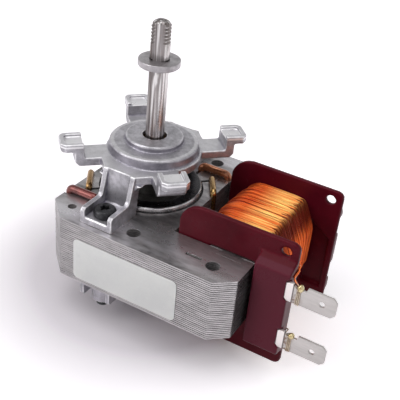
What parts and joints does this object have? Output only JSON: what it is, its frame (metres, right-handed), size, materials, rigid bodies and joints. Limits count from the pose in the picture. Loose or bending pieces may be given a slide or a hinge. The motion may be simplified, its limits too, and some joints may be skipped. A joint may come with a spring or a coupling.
{
  "type": "oven fan motor",
  "caption": "Shaded-pole fan motor with a C-shaped lamination stack, open coil on a two-flange bobbin, cast hooked bracket, D-flat threaded shaft and quick-connect tabs.",
  "frame": {"origin": "on the shaft axis, in the plane of the undersides of the bracket's four hooks, where they bear on the oven's back panel", "axes": "+Z along the shaft towards the fan; +X from the shaft to the coil and its terminals; the label side faces -Y"},
  "size_m": [0.0908, 0.062, 0.0875],
  "materials": {
    "lamination_steel": "bare punched electrical steel, brushed top face and fine horizontal sheet lines on the sides",
    "lacquered_copper": "thick copper wire under reddish brown impregnating lacquer",
    "bare_copper": "thinner golden copper wire, glossy",
    "die_cast_alloy": "pressure-cast light alloy, satin and mottled, with bright worn edges",
    "blackened_steel": "black oxide, satin",
    "sintered_bronze": "oil-filled porous bronze",
    "oiled_felt": "oil-soaked felt",
    "spring_steel": "bare spring steel",
    "spacer_plastic": "natural nylon",
    "washer_plastic": "black slide washer",
    "rotor_steel": "turned laminated steel, dark",
    "cast_aluminium": "cast and turned, bright on the rim",
    "ground_steel": "ground, with lengthwise streaks and a rolled thread",
    "washer_steel": "turned steel",
    "bobbin_plastic": "dark wine-red glass-filled thermoset, semi-gloss",
    "enamelled_copper": "orange enamelled copper wire, wound in parallel strands",
    "tinned_brass": "tin plated, satin",
    "lead_and_solder": "enamelled wire end with a bright solder bead and flux",
    "label_film": "white film, bare"
  },
  "bodies": {
    "stator": {"stator_core": "lamination_steel", "coil_core": "lamination_steel", "front_thick_shading_ring": "lacquered_copper", "rear_thick_shading_ring": "lacquered_copper", "front_thin_shading_ring": "bare_copper", "rear_thin_shading_ring": "bare_copper", "front_bracket": "die_cast_alloy", "rear_bracket": "die_cast_alloy", "bracket_screws": "blackened_steel", "front_bush": "sintered_bronze", "rear_bush": "sintered_bronze", "front_oil_felt": "oiled_felt", "rear_oil_felt": "oiled_felt", "front_bush_clip": "spring_steel", "rear_bush_clip": "spring_steel", "bobbin": "bobbin_plastic", "coil_winding": "enamelled_copper", "upper_terminal": "tinned_brass", "lower_terminal": "tinned_brass", "upper_coil_lead": "lead_and_solder", "lower_coil_lead": "lead_and_solder", "rating_label": "label_film"},
    "rotor": {"shaft": "ground_steel", "fan_washer": "washer_steel", "rotor_core": "rotor_steel", "rotor_cage": "cast_aluminium", "front_rotor_spacer": "spacer_plastic", "rear_rotor_spacer": "spacer_plastic", "front_thrust_washer": "washer_plastic", "rear_thrust_washer": "washer_plastic"}
  },
  "joints": [
    {"name": "rotor_spin", "type": "hinge", "parent": "stator", "child": "rotor", "pos_m": [0, 0, 0], "axis": [0, 0, 1], "continuous": true}
  ]
}
